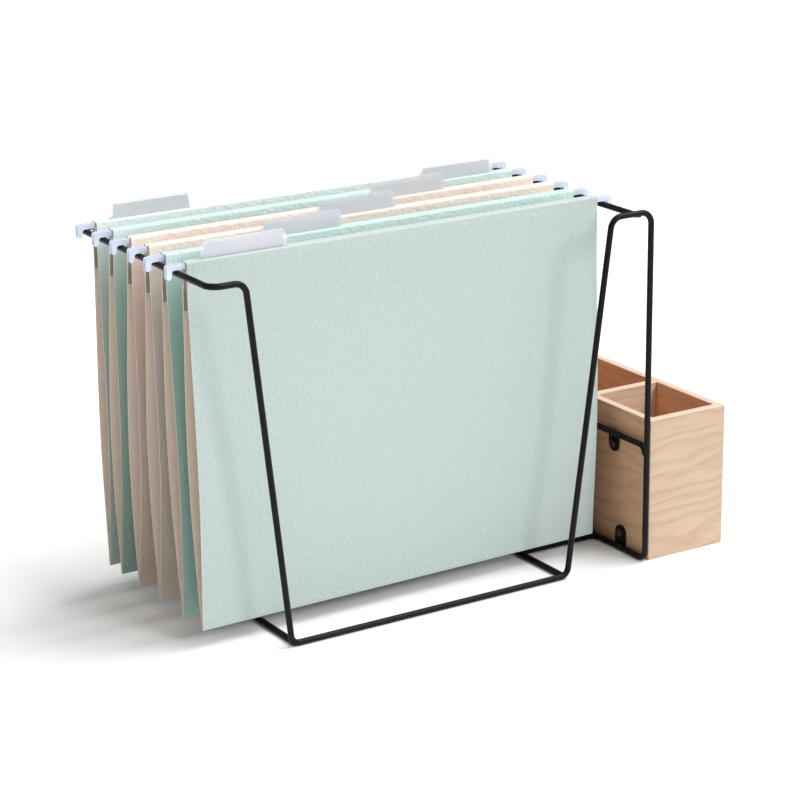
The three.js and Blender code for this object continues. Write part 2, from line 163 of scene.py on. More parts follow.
# ---------------------------------------------------------------- material helpers
class Nodes:
    """A material's node tree with short calls for adding and joining nodes."""

    def __init__(self, name, **sockets):
        self.material = bpy.data.materials.new(name)
        self.material.use_nodes = True
        self.tree = self.material.node_tree
        self.shader = self.tree.nodes["Principled BSDF"]
        for socket, value in sockets.items():
            self.shader.inputs[socket.replace("_", " ")].default_value = value

    def add(self, kind, links=None, values=None, **settings):
        node = self.tree.nodes.new("ShaderNode" + kind)
        for key, value in settings.items():
            setattr(node, key, value)
        for key, value in (values or {}).items():
            node.inputs[key].default_value = value
        for key, source in (links or {}).items():
            self.tree.links.new(source, node.inputs[key])
        return node

    def coordinates(self, scale=(1, 1, 1)):
        """Places on the object in metres, scaled."""
        spot = self.add("TexCoord").outputs["Object"]
        return self.add("Mapping", {"Vector": spot}, {"Scale": scale}).outputs[0]

    def facing(self, axis):
        """How much the surface looks along that axis, from -1 to 1."""
        normal = self.add("TexCoord").outputs["Normal"]
        return self.add("SeparateXYZ", {"Vector": normal}).outputs[axis]

    def height(self):
        """Height above the desk in metres."""
        spot = self.add("TexCoord").outputs["Object"]
        return self.add("SeparateXYZ", {"Vector": spot}).outputs["Z"]

    def noise(self, vector, scale, detail=3, roughness=0.5):
        node = self.add("TexNoise", {"Vector": vector}, {
            "Scale": scale, "Detail": detail, "Roughness": roughness,
        })
        return node.outputs[0]

    def mix(self, factor, first, second, **settings):
        """first where factor is 0 and second, or their product when multiplying, where it is 1."""
        node = self.add("Mix", data_type="RGBA", **settings)
        if isinstance(factor, (int, float)):
            node.inputs[0].default_value = factor
        else:
            self.tree.links.new(factor, node.inputs[0])
        self.tree.links.new(first, node.inputs[6])
        self.tree.links.new(second, node.inputs[7])
        return node.outputs[2]

    def spread(self, value, low, high, from_low=0, from_high=1):
        """value spread from from_low..from_high to low..high, and held at the ends."""
        node = self.add("MapRange", {"Value": value}, {
            "From Min": from_low, "From Max": from_high, "To Min": low, "To Max": high,
        })
        return node.outputs[0]

    def math(self, operation, a, b):
        node = self.add("Math", operation=operation)
        for socket, value in zip(node.inputs, (a, b)):
            if isinstance(value, (int, float)):
                socket.default_value = value
            else:
                self.tree.links.new(value, socket)
        return node.outputs[0]

    def ramp(self, value, *stops):
        """A colour that runs through the (position, colour) stops as value goes from 0 to 1."""
        node = self.add("ValToRGB", {"Fac": value})
        elements = node.color_ramp.elements
        while len(elements) < len(stops):
            elements.new(0.5)
        for element, (position, colour) in zip(elements, stops):
            element.position = position
            element.color = (*colour, 1)
        return node.outputs[0]

    def tint(self, colour, value, amount):
        """A colour made a little lighter or darker as value goes from 0 to 1."""
        darker = tuple(c * (1 - amount) for c in colour)
        lighter = tuple(min(1, c * (1 + amount)) for c in colour)
        return self.ramp(value, (0.3, darker), (0.7, lighter))

    def link(self, socket, value):
        self.tree.links.new(value, self.shader.inputs[socket])

    def bump(self, height, depth, strength=1.0, over=None):
        """Bump of that depth in metres, on top of another bump if one is given."""
        node = self.add("Bump", {"Height": height}, {"Distance": depth, "Strength": strength})
        if over is not None:
            self.tree.links.new(over, node.inputs["Normal"])
        self.tree.links.new(node.outputs[0], self.shader.inputs["Normal"])
        return node.outputs[0]


# ---------------------------------------------------------------- materials
def wire_material():
    """Satin black powder coat: very dark, slightly warm, with a fine orange-peel surface."""
    m = Nodes("black_powder_coat", Specular_IOR_Level=0.16)
    fine = m.noise(m.coordinates(), 900, 2)
    broad = m.noise(m.coordinates(), 60, 3)
    m.link("Base Color", m.tint((0.0048, 0.0038, 0.0038), broad, 0.25))
    m.link("Roughness", m.spread(broad, 0.34, 0.5))
    m.bump(fine, 0.00004, 0.6)
    return m.material


def screw_material():
    m = Nodes("blackened_steel", Metallic=0.55)
    broad = m.noise(m.coordinates(), 400, 3)
    m.link("Base Color", m.tint((0.03, 0.029, 0.031), broad, 0.3))
    m.link("Roughness", m.spread(broad, 0.28, 0.5))
    m.bump(broad, 0.00002, 0.5)
    return m.material


def hook_material():
    """Lavender-white plastic coat of the folder rods."""
    m = Nodes("coated_rod", Roughness=0.35)
    broad = m.noise(m.coordinates(), 120, 3)
    m.link("Base Color", m.tint((0.69, 0.77, 0.91), broad, 0.05))
    m.link("Roughness", m.spread(broad, 0.28, 0.42))
    m.bump(m.noise(m.coordinates(), 1200, 2), 0.00002, 0.5)
    return m.material


def card_outer_material(name, colour, pale, fade):
    """Coloured card pressed with a fine irregular pebble. Its front is painted lighter over the height
    fade
    below the fold over the rod: painted light from above, which lights the tops more than the shaded
    slots."""
    m = Nodes(name)
    spot = m.coordinates()
    warp = m.noise(spot, 150, 2)
    pebble = m.add("TexVoronoi", {"Vector": spot}, {
        "Scale": 420, "Smoothness": 0.6, "Randomness": 0.9,
    }, feature="SMOOTH_F1")
    relief = m.math("ADD", pebble.outputs["Distance"], m.math("MULTIPLY", warp, 0.5))
    # painted light: front-facing faces blend towards the lighter colour pale near the top, fading down
    # over fade
    fold_z = HEM_TOP_Z + FOLD_RISE
    rise = m.spread(m.height(), 0, 1, (fold_z - fade) * MM, fold_z * MM)
    in_front = m.spread(m.facing("Y"), 1, 0, -0.95, -0.05)
    painted_top_light = m.math("MULTIPLY", m.math("POWER", rise, 2), in_front)
    plain = m.tint(colour, m.noise(spot, 700, 3, 0.7), 0.025)
    m.link("Base Color", m.mix(painted_top_light, plain, m.tint(pale, warp, 0.03)))
    m.link("Roughness", m.spread(warp, 0.72, 0.86))
    fibres = m.bump(m.noise(spot, 2500, 2), 0.00002, 0.4)
    m.bump(relief, 0.0004, 0.85, fibres)
    return m.material


def card_inner_material(name, colour):
    """Card with short fibres: its bare inside, and in dark olive the hems' flaps, whose colour is painted
    shade.
    """
    m = Nodes(name, Roughness=0.85)
    fibre = m.noise(m.coordinates((1, 1, 0.3)), 900, 4, 0.7)
    m.link("Base Color", m.tint(colour, fibre, 0.05))
    m.bump(fibre, 0.00003, 0.5)
    return m.material


def card_edge_material():
    m = Nodes("card_cut_edge", Roughness=0.9)
    fibre = m.noise(m.coordinates(), 1500, 3, 0.7)
    m.link("Base Color", m.tint((0.80, 0.74, 0.64), fibre, 0.06))
    m.bump(fibre, 0.00004, 0.6)
    return m.material


def plastic_material():
    """Thin clear film: mostly see-through, with a faint cool body and a gloss."""
    m = Nodes("clear_film", Alpha=0.22, IOR=1.5)
    smear = m.noise(m.coordinates(), 90, 3)
    m.link("Base Color", m.tint((0.86, 0.90, 0.93), smear, 0.03))
    m.link("Roughness", m.spread(smear, 0.06, 0.2))
    m.bump(smear, 0.00005, 0.4)
    return m.material


def label_material(name, colour):
    m = Nodes(name, Roughness=0.9)
    fibre = m.noise(m.coordinates(), 1800, 3, 0.7)
    m.link("Base Color", m.tint(colour, fibre, 0.03))
    m.bump(fibre, 0.00002, 0.5)
    return m.material


TOP_EDGE_PAINTED_LIGHT = (0.64, 0.50, 0.385)  # painted light: the box's top edge, lit from above, is painted paler
YEAR_RING = (  # one year's growth, from spring wood to the dark line of late wood
    (0.0, (0.80, 0.605, 0.42)),
    (0.4, (0.79, 0.59, 0.405)),
    (0.8, (0.715, 0.505, 0.335)),
    (0.93, (0.775, 0.575, 0.39)),
)


def pine_material(name, grain, pith, tilt, seed, tone, away=(1, 1, 1)):
    """Pale pine cut from one side of a log. grain is the axis along the log ("x" or "y"), pith is the
    log's centre line in design millimetres, tilt a small turn of it in degrees and tone its tint: painted
    light and shade.
    away tints the face that looks away from the wire frame, painting it out of the board's painted shade."""
    m = Nodes(name, Roughness=0.6)
    along = {"x": 0, "y": math.radians(-90)}[grain]
    spot = m.add("TexCoord").outputs["Object"]
    shifted = m.add("Mapping", {"Vector": spot}, {"Location": -place(*pith)}).outputs[0]
    turned = m.add("Mapping", {"Vector": shifted}, {
        "Rotation": (0, math.radians(tilt), along),
    }).outputs[0]
    wander = m.noise(m.add("Mapping", {"Vector": turned}, {
        "Scale": (12, 38, 38), "Location": (seed, 0, 0),
    }).outputs[0], 1, 2)
    ring = m.add("TexWave", {"Vector": turned}, {
        "Scale": 36, "Distortion": 0, "Detail": 0,
    }, wave_type="RINGS", rings_direction="X", wave_profile="SAW")
    m.tree.links.new(m.spread(wander, -13, 13), ring.inputs["Phase Offset"])
    streak = m.noise(m.add("Mapping", {"Vector": turned}, {
        "Scale": (40, 1500, 1500), "Location": (seed, 0, 0),
    }).outputs[0], 1, 3, 0.6)
    patch = m.noise(turned, 22, 2)
    growth = m.ramp(ring.outputs["Fac"], *(
        (position, tuple(c * t for c, t in zip(colour, tone))) for position, colour in YEAR_RING
    ))
    soft_streaks = m.ramp(streak, (0.3, (0.88, 0.85, 0.82)), (0.65, (1, 1, 1)))
    blotches = m.ramp(patch, (0.3, (0.93, 0.91, 0.9)), (0.7, (1, 1, 1)))
    wood = m.mix(1, growth, soft_streaks, blend_type="MULTIPLY")
    wood = m.mix(1, wood, blotches, blend_type="MULTIPLY")
    # painted shade: faces that look away from the wire frame are multiplied by away, the others keep the
    # tone's shade
    outward = m.spread(m.facing("X"), 0, 1, 0.3, 0.9)
    wood = m.mix(outward, wood, m.tint(away, streak, 0.01), blend_type="MULTIPLY")
    # painted light: the top edge is painted paler than the board's faces
    top_z = design_box("box_front_panel")[1].z
    on_top = m.spread(m.height(), 0, 1, (top_z - 0.6) * MM, (top_z - 0.3) * MM)
    m.link("Base Color", m.mix(on_top, wood, m.tint(TOP_EDGE_PAINTED_LIGHT, streak, 0.04)))
    m.link("Roughness", m.spread(streak, 0.5, 0.7))
    m.bump(streak, 0.00006, 0.6)
    return m.material


def floor_material():
    m = Nodes("studio_floor", Roughness=0.9)
    m.link("Base Color", m.tint((0.93, 0.93, 0.93), m.noise(m.coordinates(), 3, 2), 0.005))
    return m.material


# ---------------------------------------------------------------- mesh helpers
def add_object(name, mesh, *materials):
    obj = bpy.data.objects.new(name, mesh)
    bpy.context.scene.collection.objects.link(obj)
    for material in materials:
        obj.data.materials.append(material)
    return obj


def mesh_from(name, points, faces):
    mesh = bpy.data.meshes.new(name)
    mesh.from_pydata([tuple(p) for p in points], [], faces)
    mesh.update()
    mesh.polygons.foreach_set("use_smooth", [True] * len(mesh.polygons))
    return mesh


def applied(obj):
    """obj with its modifiers made part of its mesh."""
    evaluated = obj.evaluated_get(bpy.context.evaluated_depsgraph_get())
    mesh = bpy.data.meshes.new_from_object(evaluated)
    obj.modifiers.clear()
    obj.data = mesh
    return obj


def rounded(obj, width, segments=3, angle=35):
    """Rounds the sharp edges of obj by width, in metres."""
    bevel = obj.modifiers.new("round", "BEVEL")
    bevel.width = width
    bevel.segments = segments
    bevel.limit_method = "ANGLE"
    bevel.angle_limit = math.radians(angle)
    bevel.harden_normals = True
    obj.data.polygons.foreach_set("use_smooth", [True] * len(obj.data.polygons))
    return applied(obj)


def ring_faces(rings, sides):
    """Quads between rings of points that follow each other, and two end caps."""
    faces = []
    for i in range(rings - 1):
        start, after = i * sides, (i + 1) * sides
        for j in range(sides):
            k = (j + 1) % sides
            faces.append((start + j, start + k, after + k, after + j))
    faces.append(tuple(range(sides - 1, -1, -1)))
    faces.append(tuple(range((rings - 1) * sides, rings * sides)))
    return faces


# ---------------------------------------------------------------- bent wire
TUBE_SIDES = 24
BEND_STEPS = 12
DOME_HEIGHT = 0.25  # of a wire's end, as a share of its radius


def bend(before, corner, after, radius):
    """Points and directions round one bend of a wire's centre line."""
    arriving = (corner - before).normalized()
    leaving = (after - corner).normalized()
    angle = arriving.angle(leaving)
    axis = arriving.cross(leaving).normalized()
    start = corner - arriving * (radius * math.tan(angle / 2))
    centre = start + axis.cross(arriving) * radius
    stations = []
    for i in range(BEND_STEPS + 1):
        turn = Matrix.Rotation(angle * i / BEND_STEPS, 3, axis)
        stations.append((centre + turn @ (start - centre), turn @ arriving))
    return stations


def centre_line(corners, radii):
    """Points and directions along a wire that turns at its inner corners with those bend radii."""
    points = [Vector(c) for c in corners]
    stations = [(points[0], (points[1] - points[0]).normalized())]
    for i in range(1, len(points) - 1):
        stations += bend(points[i - 1], points[i], points[i + 1], radii[i - 1])
    stations.append((points[-1], (points[-1] - points[-2]).normalized()))
    return stations


def tube(name, corners, radii=()):
    """A round wire through the corners, in design millimetres, with slightly domed ends."""
    stations = centre_line(corners, radii)
    side = stations[0][1].orthogonal().normalized()
    rings = []
    for i, (point, along) in enumerate(stations):
        if i:
            side = (stations[i - 1][1].rotation_difference(along) @ side)
            side = (side - along * side.dot(along)).normalized()
        rings.append((point, side, along.cross(side), WIRE_R))
    rings = dome(rings[0], -stations[0][1])[::-1] + rings + dome(rings[-1], stations[-1][1])
    points = [
        place(*(point + (a * math.cos(t) + b * math.sin(t)) * r))
        for point, a, b, r in rings
        for t in (2 * math.pi * j / TUBE_SIDES for j in range(TUBE_SIDES))
    ]
    return add_object(name, mesh_from(name, points, ring_faces(len(rings), TUBE_SIDES)), BLACK)


def dome(last, outward):
    """Three shrinking rings past a tube's last ring."""
    point, a, b, radius = last
    rings = []
    for step in (1, 2, 3):
        lift = math.radians(28 * step)
        centre = point + outward * (DOME_HEIGHT * radius * math.sin(lift))
        rings.append((centre, a, b, radius * math.cos(lift * 0.85)))
    return rings


LEG_TOP_X = 132.3  # where a sloping leg starts below its shoulder
RIGHT_LEG_TOP_X = 133.2
FOOT_X = 104.1  # where a sloping leg meets the desk
LAP_LENGTH = 2.9  # the right rail's turned end, welded behind the front shoulder
FLOOR_Z = WIRE_R
WIRE_GAP = 0.3  # air between two CAD wires that are welded
FOOT_BEND = 6
SHOULDER_BEND = 8
LAP_BEND = 2.5
BRACKET_BENDS = (5, 5, 3)
BRACKET_TAIL = 5.8  # how far the bracket's tail drops along the post
TAIL_LEAN = 3  # how far the tail runs forward into the post
MEET = 1  # how far a wire's end runs into the wire that it is welded to


def make_wires():
    """The long bent wire from the post's foot round to the right rail, the two runners, the box's
    bracket and the welds between them."""
    post_x = design_box("box_post_wire")[1].x - WIRE_R
    return_y = design_box("box_post_wire")[1].y - WIRE_R
    runner_x = design_box("right_floor_wire")[1].x - WIRE_R
    lap_y = design_box("right_rail")[0].y + WIRE_R
    shoulder_z = design_box("front_frame_wire")[1].z - WIRE_R
    foot, shoulder = [FOOT_BEND] * 2, [SHOULDER_BEND] * 2
    bends = foot + shoulder + foot + shoulder + shoulder + foot + shoulder + [LAP_BEND]
    main = tube("bent_wire_frame", [
        (runner_x + MEET, return_y, FLOOR_Z),
        (post_x, return_y, FLOOR_Z),
        (post_x, FRONT_TOP_Y, FLOOR_Z),
        (post_x, FRONT_TOP_Y, shoulder_z),
        (RIGHT_LEG_TOP_X, FRONT_TOP_Y, shoulder_z),
        (FOOT_X, FRONT_FOOT_Y, FLOOR_Z),
        (-FOOT_X, FRONT_FOOT_Y, FLOOR_Z),
        (-LEG_TOP_X, FRONT_TOP_Y, RAIL_Z),
        (-RAIL_X, FRONT_TOP_Y, RAIL_Z),
        (-RAIL_X, REAR_TOP_Y, RAIL_Z),
        (-LEG_TOP_X, REAR_TOP_Y, RAIL_Z),
        (-FOOT_X, REAR_FOOT_Y, FLOOR_Z),
        (FOOT_X, REAR_FOOT_Y, FLOOR_Z),
        (LEG_TOP_X, REAR_TOP_Y, RAIL_Z),
        (RAIL_X, REAR_TOP_Y, RAIL_Z),
        (RAIL_X, lap_y, RAIL_Z),
        (RAIL_X + LAP_LENGTH, lap_y, RAIL_Z),
    ], bends)
    finish_piece(main, "frame", "black_wire", "front_frame_wire", "rear_frame_wire", "left_rail",
                 "right_rail", "box_post_wire")
    for side, node in ((-1, "left_floor_wire"), (1, "right_floor_wire")):
        runner = tube(f"floor_runner_{'left' if side < 0 else 'right'}", [
            (side * runner_x, FRONT_FOOT_Y + MEET, FLOOR_Z),
            (side * runner_x, REAR_FOOT_Y - MEET, FLOOR_Z),
        ])
        finish_piece(runner, "frame", "black_wire", node)
    low, high = design_box("box_bracket_wire")
    start_y, rear_y, top_z = low.y + WIRE_R, high.y - WIRE_R, high.z - WIRE_R
    bracket = tube("box_bracket", [
        (post_x, start_y - TAIL_LEAN, top_z - BRACKET_TAIL),
        (post_x, start_y, top_z),
        (post_x, rear_y, top_z),
        (post_x, rear_y, FLOOR_Z),
        (post_x, return_y + WIRE_R - MEET, FLOOR_Z),
    ], BRACKET_BENDS)
    finish_piece(bracket, "frame", "black_wire", "box_bracket_wire")

    touch = WIRE_R + WIRE_GAP / 2
    seam_y = (FRONT_TOP_Y + lap_y) / 2
    seam_z = (RAIL_Z + shoulder_z) / 2
    beads = [((side * runner_x, y, FLOOR_Z), (2.5, 1.5, 1.7))
             for side in (-1, 1) for y in (FRONT_FOOT_Y + touch, REAR_FOOT_Y - touch)]
    beads += [
        ((runner_x + touch, return_y, FLOOR_Z), (1.5, 2.5, 1.7)),
        ((RAIL_X + LAP_LENGTH - 1, seam_y, seam_z), (2.2, 1.6, 1.5)),
        ((RAIL_X, seam_y, seam_z), (1.8, 1.5, 1.4)),
        ((post_x, start_y - 1.8, top_z - 2), (1.7, 2.2, 2.6)),
        ((post_x - 0.6, return_y + 0.6, FLOOR_Z), (1.9, 2.8, 1.7)),
    ]
    for tab, wire_z in (("upper", top_z), ("lower", FLOOR_Z)):
        low, high = design_box(f"{tab}_screw_tab")
        beads.append(((post_x + WIRE_R, (low.y + high.y) / 2, wire_z), (0.7, 4.2, 1.3)))
    finish_piece(weld_beads(beads), "frame", "black_wire")


BEAD_SWELL = 0.12  # how uneven a weld bead is, as a share of its size


def weld_beads(beads):
    """Small uneven lumps where wires are welded, as one piece. Each bead is a centre and three radii."""
    shape = bmesh.new()
    for centre, radii in beads:
        made = bmesh.ops.create_icosphere(shape, subdivisions=3, radius=1)
        for vertex in made["verts"]:
            swell = 1 + BEAD_SWELL * noise.noise(vertex.co * 2.3 + Vector(centre))
            offset = Vector(r * c * swell for r, c in zip(radii, vertex.co))
            vertex.co = place(*(Vector(centre) + offset))
    mesh = bpy.data.meshes.new("weld_beads")
    shape.to_mesh(mesh)
    shape.free()
    mesh.polygons.foreach_set("use_smooth", [True] * len(mesh.polygons))
    return add_object("weld_beads", mesh, BLACK)


def finish_piece(obj, body, slot, *nodes):
    """Names the body that obj rides on and the CAD nodes that it replaces. slot is not used."""
    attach(obj, body)
    if nodes:
        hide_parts(*nodes)
    return obj


# ---------------------------------------------------------------- screw tabs and screws
HOLE_SIDES = 64
HOLE_R = 2.0
ROOT_OVERLAP = 0.8  # how far a tab's root runs into its wire
TAB_ROUND = 0.25
SCREW_HEAD_R = 3.1
SCREW_HEAD_H = 2.0
SCREW_RIM_H = 0.35  # straight side of the head under its dome
SHANK_R = 1.4
DOME_STEPS = 10
RECESS_LENGTH = 3.3
RECESS_WIDTH = 0.75
RECESS_TAPER = 0.45  # length of the recess at its bottom, as a share
RECESS_CUT_H = 2.2  # height of the bar that cuts the recess
RECESS_CUT_RISE = 0.1  # its middle above the top of the head
RECESS_TURN = 20  # degrees


def make_screw_tab(where, root_up):
    """A flat tab with one round end, a screw hole and a root that runs into its wire."""
    node = f"{where}_screw_tab"
    low, high = design_box(node)
    half_width = (high.y - low.y) / 2
    reach = (high.z - low.z) - half_width + ROOT_OVERLAP
    centre_y = (low.y + high.y) / 2
    centre_z = low.z + half_width if root_up else high.z - half_width
    rims = []
    for x in (low.x, high.x):
        for hole in (False, True):
            ring = []
            for j in range(HOLE_SIDES):
                angle = 2 * math.pi * j / HOLE_SIDES
                c, s = math.cos(angle), math.sin(angle)
                if hole:
                    radius = HOLE_R
                elif s > 0:
                    radius = min(half_width / max(abs(c), 1e-6), reach / s)
                else:
                    radius = half_width
                up = 1 if root_up else -1
                ring.append(place(x, centre_y + radius * c, centre_z + up * radius * s))
            rims.append(ring)
    points = [p for ring in rims for p in ring]
    n = HOLE_SIDES
    faces = []
    for j in range(n):
        k = (j + 1) % n
        faces.append((j, k, n + k, n + j))
        faces.append((2 * n + j, 3 * n + j, 3 * n + k, 2 * n + k))
        faces.append((j, 2 * n + j, 2 * n + k, k))
        faces.append((n + j, n + k, 3 * n + k, 3 * n + j))
    mesh = mesh_from(f"{where}_bracket_tab", points, faces)
    fix_normals(mesh)
    tab = rounded(add_object(mesh.name, mesh, BLACK), TAB_ROUND * MM, 3, 50)
    finish_piece(tab, "frame", "black_wire", node)
    return centre_y, centre_z


def fix_normals(mesh):
    shape = bmesh.new()
    shape.from_mesh(mesh)
    bmesh.ops.recalc_face_normals(shape, faces=shape.faces)
    shape.to_mesh(mesh)
    shape.free()


def lathe(name, profile, sides, material):
    """Turns a profile of (radius, height) about the local Z axis, millimetres."""
    points = []
    for radius, height in profile:
        for j in range(sides):
            angle = 2 * math.pi * j / sides
            points.append(Vector((radius * math.cos(angle), radius * math.sin(angle), height)) * MM)
    mesh = mesh_from(name, points, ring_faces(len(profile), sides))
    fix_normals(mesh)
    return add_object(name, mesh, material)


def make_screw(where, centre_y, centre_z):
    """Pan-head screw with a cross recess, its head against the tab."""
    low, high = design_box(f"{where}_screw")
    base_x = low.x + SCREW_HEAD_H
    profile = [(SHANK_R, base_x - high.x), (SHANK_R, 0), (SCREW_HEAD_R, 0), (SCREW_HEAD_R, SCREW_RIM_H)]
    for i in range(1, DOME_STEPS + 1):
        angle = math.pi / 2 * i / DOME_STEPS
        profile.append((SCREW_HEAD_R * math.cos(angle) * 0.98 + 0.02,
                        SCREW_RIM_H + (SCREW_HEAD_H - SCREW_RIM_H) * math.sin(angle)))
    screw = lathe(f"{where}_pan_screw", profile, 48, STEEL)
    for i in range(2):
        bar = bpy.data.meshes.new("recess")
        cutter_shape = bmesh.new()
        bmesh.ops.create_cube(cutter_shape, size=1)
        for vertex in cutter_shape.verts:
            narrow = 1 if vertex.co.z > 0 else RECESS_TAPER
            vertex.co.x *= RECESS_LENGTH * narrow * MM
            vertex.co.y *= RECESS_WIDTH * MM
            vertex.co.z = (SCREW_HEAD_H + vertex.co.z * RECESS_CUT_H + RECESS_CUT_RISE) * MM
        cutter_shape.to_mesh(bar)
        cutter_shape.free()
        cutter = add_object("recess", bar)
        cutter.rotation_euler.z = math.pi / 2 * i + math.radians(RECESS_TURN)
        cut = screw.modifiers.new("recess", "BOOLEAN")
        cut.operation = "DIFFERENCE"
        cut.object = cutter
        bpy.context.view_layer.update()
        applied(screw)
        bpy.data.objects.remove(cutter)
    screw.data.materials.clear()
    screw.data.materials.append(STEEL)
    screw.data.transform(Matrix.Translation(place(base_x, centre_y, centre_z))
                         @ Matrix.Rotation(math.radians(-90), 4, "Y"))
    finish_piece(screw, "frame", "screw_steel", f"{where}_screw")


# ---------------------------------------------------------------- pen box
BOARD_ROUND = 0.7
GLUE_GAP = 0.29  # air between two CAD boards that are glued


def plank(name, node, material, grow):
    """A softened board over the CAD node's box, grown by (low, high) amounts to close its glued joints."""
    low, high = design_box(node)
    low, high = low - Vector(grow[0]), high + Vector(grow[1])
    shape = bmesh.new()
    bmesh.ops.create_cube(shape, size=1)
    for vertex in shape.verts:
        vertex.co = place(*((low[i] if vertex.co[i] < 0 else high[i]) for i in range(3)))
    mesh = bpy.data.meshes.new(name)
    shape.to_mesh(mesh)
    shape.free()
    board = rounded(add_object(name, mesh, material), BOARD_ROUND * MM, 4)
    return finish_piece(board, "frame", "pine", node)


def make_box():
    """Six boards. Each has its own grain, and their tones are painted light and shade: paler and cooler on
    the lit front and divider, redder on the boards and faces in shade, where the wood's light bounces.
    """
    gap = GLUE_GAP
    # painted light and shade: pale and light for the lit front and divider, ruddy and deep for boards in
    # shade
    pale, light = (0.80, 0.81, 0.86), (0.98, 1.0, 1.08)
    ruddy, deep = (0.84, 0.68, 0.60), (1.13, 0.84, 0.74)
    front = pine_material("pine_front", "x", (180, 26, -95), 4, 3, pale)
    rear = pine_material("pine_rear", "x", (180, 120, 160), -3, 11, ruddy)
    inner = pine_material("pine_inner", "y", (214, 80, -60), 3, 19, ruddy)
    # away keeps the outer side's outward face out of the deep painted shade of its inner face
    outer = pine_material("pine_outer", "y", (196, 80, 170), -2, 27, deep, (0.70, 0.95, 1))
    divider = pine_material("pine_divider", "x", (200, 96, 150), 3, 41, light)
    base = pine_material("pine_base", "y", (200, 80, -30), 2, 53, ruddy)
    none = (0, 0, 0)
    joint_y = ((0, gap, 0), (0, gap, 0))
    plank("pen_box_front", "box_front_panel", front, (none, none))
    plank("pen_box_rear", "box_rear_panel", rear, (none, none))
    plank("pen_box_outer_side", "box_outer_side", outer, joint_y)
    plank("pen_box_frame_side", "box_frame_side", inner, joint_y)
    plank("pen_box_base", "box_bottom", base, ((gap, gap, 0), (gap, gap, 0)))
    plank("pen_box_divider", "box_divider", divider, ((gap, 0, 0), (gap, 0, 0)))


# ---------------------------------------------------------------- folders
CARD_T = 0.42  # thickness
CREASE_R = 0.7
HEM_Y = 3.2  # card's centre line outside a rod, from the folder's middle plane
HEM_INNER_Y = 0.8
HEM_TOP_Z = 243.1
HEM_FOOT_Z = 233.9
FOLD_RISE = 1.4  # top of the fold over a rod, above the hem's straight part
HEM_END = 1  # the card leaves the hem's straight part over this height above and below its foot
FLAP_FOOT_Z = 213.3
FLAP_GAP = 0.5
FLAP_EASE = 9  # height over which a flap swings from its rod to its panel
BELLY_SKEW = 0.82  # puts the widest place below the middle of the panel
BELLY_SHARPNESS = 1.6
WAVE = 0.4  # how far a panel wanders from its smooth shape
WIDER_LEFT = 0.9  # the seen card reaches a little past the CAD card at each side
WIDER_RIGHT = 0.5
WIDER_TAB = 4  # the seen index tab reaches this much further right than the CAD tab
COLUMNS = 44
CROWDING = 0.35  # how much closer the columns stand near the card's side edges
PANEL_ROWS = 52
FLAP_ROWS = 10
FOLD_STEPS = 8  # round the fold over a rod, and over the top of an index tab
CREASE_STEPS = 6  # from the middle of the bottom crease to a panel


class FolderShape:
    """How one folder hangs: how high its crease is, how far its panels stand apart and how it swings."""

    def __init__(self, crease_z, belly, swing_left, swing_right, bow, seed):
        self.crease_z = crease_z
        self.belly = belly
        self.swing = (swing_left, swing_right)
        self.bow = bow
        self.seed = seed

    def offset(self, across, side, rise):
        """y of a panel from the folder's middle plane. across runs 0 to 1 from left to right, side is
        -1 in front and 1 behind, and rise 0 to 1 from the crease to the hem."""
        opening = math.sin(math.pi * rise ** BELLY_SKEW) ** BELLY_SHARPNESS
        spread = CREASE_R + (HEM_Y - CREASE_R) * rise + self.belly * opening
        swing = self.swing[0] + (self.swing[1] - self.swing[0]) * across
        wave = noise.noise(Vector((across * 2.4, rise * 1.6, self.seed + side))) * WAVE
        return side * (spread + wave * opening) + swing * (1 - rise) + self.bow * 4 * rise * (1 - rise)


SHAPES = [  # from the front folder to the rear one
    FolderShape(11.4, 4.6, -7.0, -1.5, 1.5, 1.3),
    FolderShape(13.2, 5.0, -9.0, -4.0, 2.0, 5.1),
    FolderShape(12.9, 6.2, 1.0, 0.6, 1.0, 9.7),
    FolderShape(12.9, 6.2, 6.0, 3.8, 1.0, 13.9),
    FolderShape(12.9, 5.0, 6.1, 4.3, 2.5, 17.3),
    FolderShape(12.9, 4.2, 0.1, -0.2, -0.4, 21.7),
]


def card_line(shape, across):
    """Centre line of the whole card in one column, as (y, z), from the front flap's end round the front
    hem, down the front panel, round the crease and up to the rear flap's end."""
    def half(side):
        line = []
        panel_foot = shape.crease_z + CREASE_R

        def panel_y(z):
            return shape.offset(across, side, min(1, (z - panel_foot) / (HEM_FOOT_Z - panel_foot)))

        for i in range(1, PANEL_ROWS + 1):
            z = panel_foot + (HEM_FOOT_Z - panel_foot) * i / PANEL_ROWS
            line.append((panel_y(z), z))
        line.append((side * HEM_Y, HEM_TOP_Z))
        centre, radius = (HEM_Y + HEM_INNER_Y) / 2, (HEM_Y - HEM_INNER_Y) / 2
        for i in range(1, FOLD_STEPS):
            angle = math.pi * i / FOLD_STEPS
            line.append((side * (centre + radius * math.cos(angle)), HEM_TOP_Z + radius * math.sin(angle)))
        line.append((side * HEM_INNER_Y, HEM_TOP_Z))
        line.append((side * HEM_INNER_Y, HEM_FOOT_Z + HEM_END))
        flap_top = HEM_FOOT_Z - HEM_END
        for i in range(1, FLAP_ROWS + 1):
            z = flap_top + (FLAP_FOOT_Z - flap_top) * i / FLAP_ROWS
            ease = min(1, (HEM_FOOT_Z - z) / FLAP_EASE)
            target = panel_y(z) - side * FLAP_GAP
            line.append((side * HEM_INNER_Y * (1 - ease) + target * ease, z))
        return line

    crease = []
    for i in range(-CREASE_STEPS, CREASE_STEPS + 1):
        angle = math.pi / 2 * i / CREASE_STEPS
        swing = shape.offset(across, 1, 0) - CREASE_R
        crease.append((
            swing + CREASE_R * math.sin(angle),
            shape.crease_z + CREASE_R * (1 - math.cos(angle)),
        ))
    return half(-1)[::-1] + crease + half(1)


OUTSIDE, INSIDE, CUT_EDGE, SHADED_FLAP = range(4)  # a card's materials, in the order that it carries them


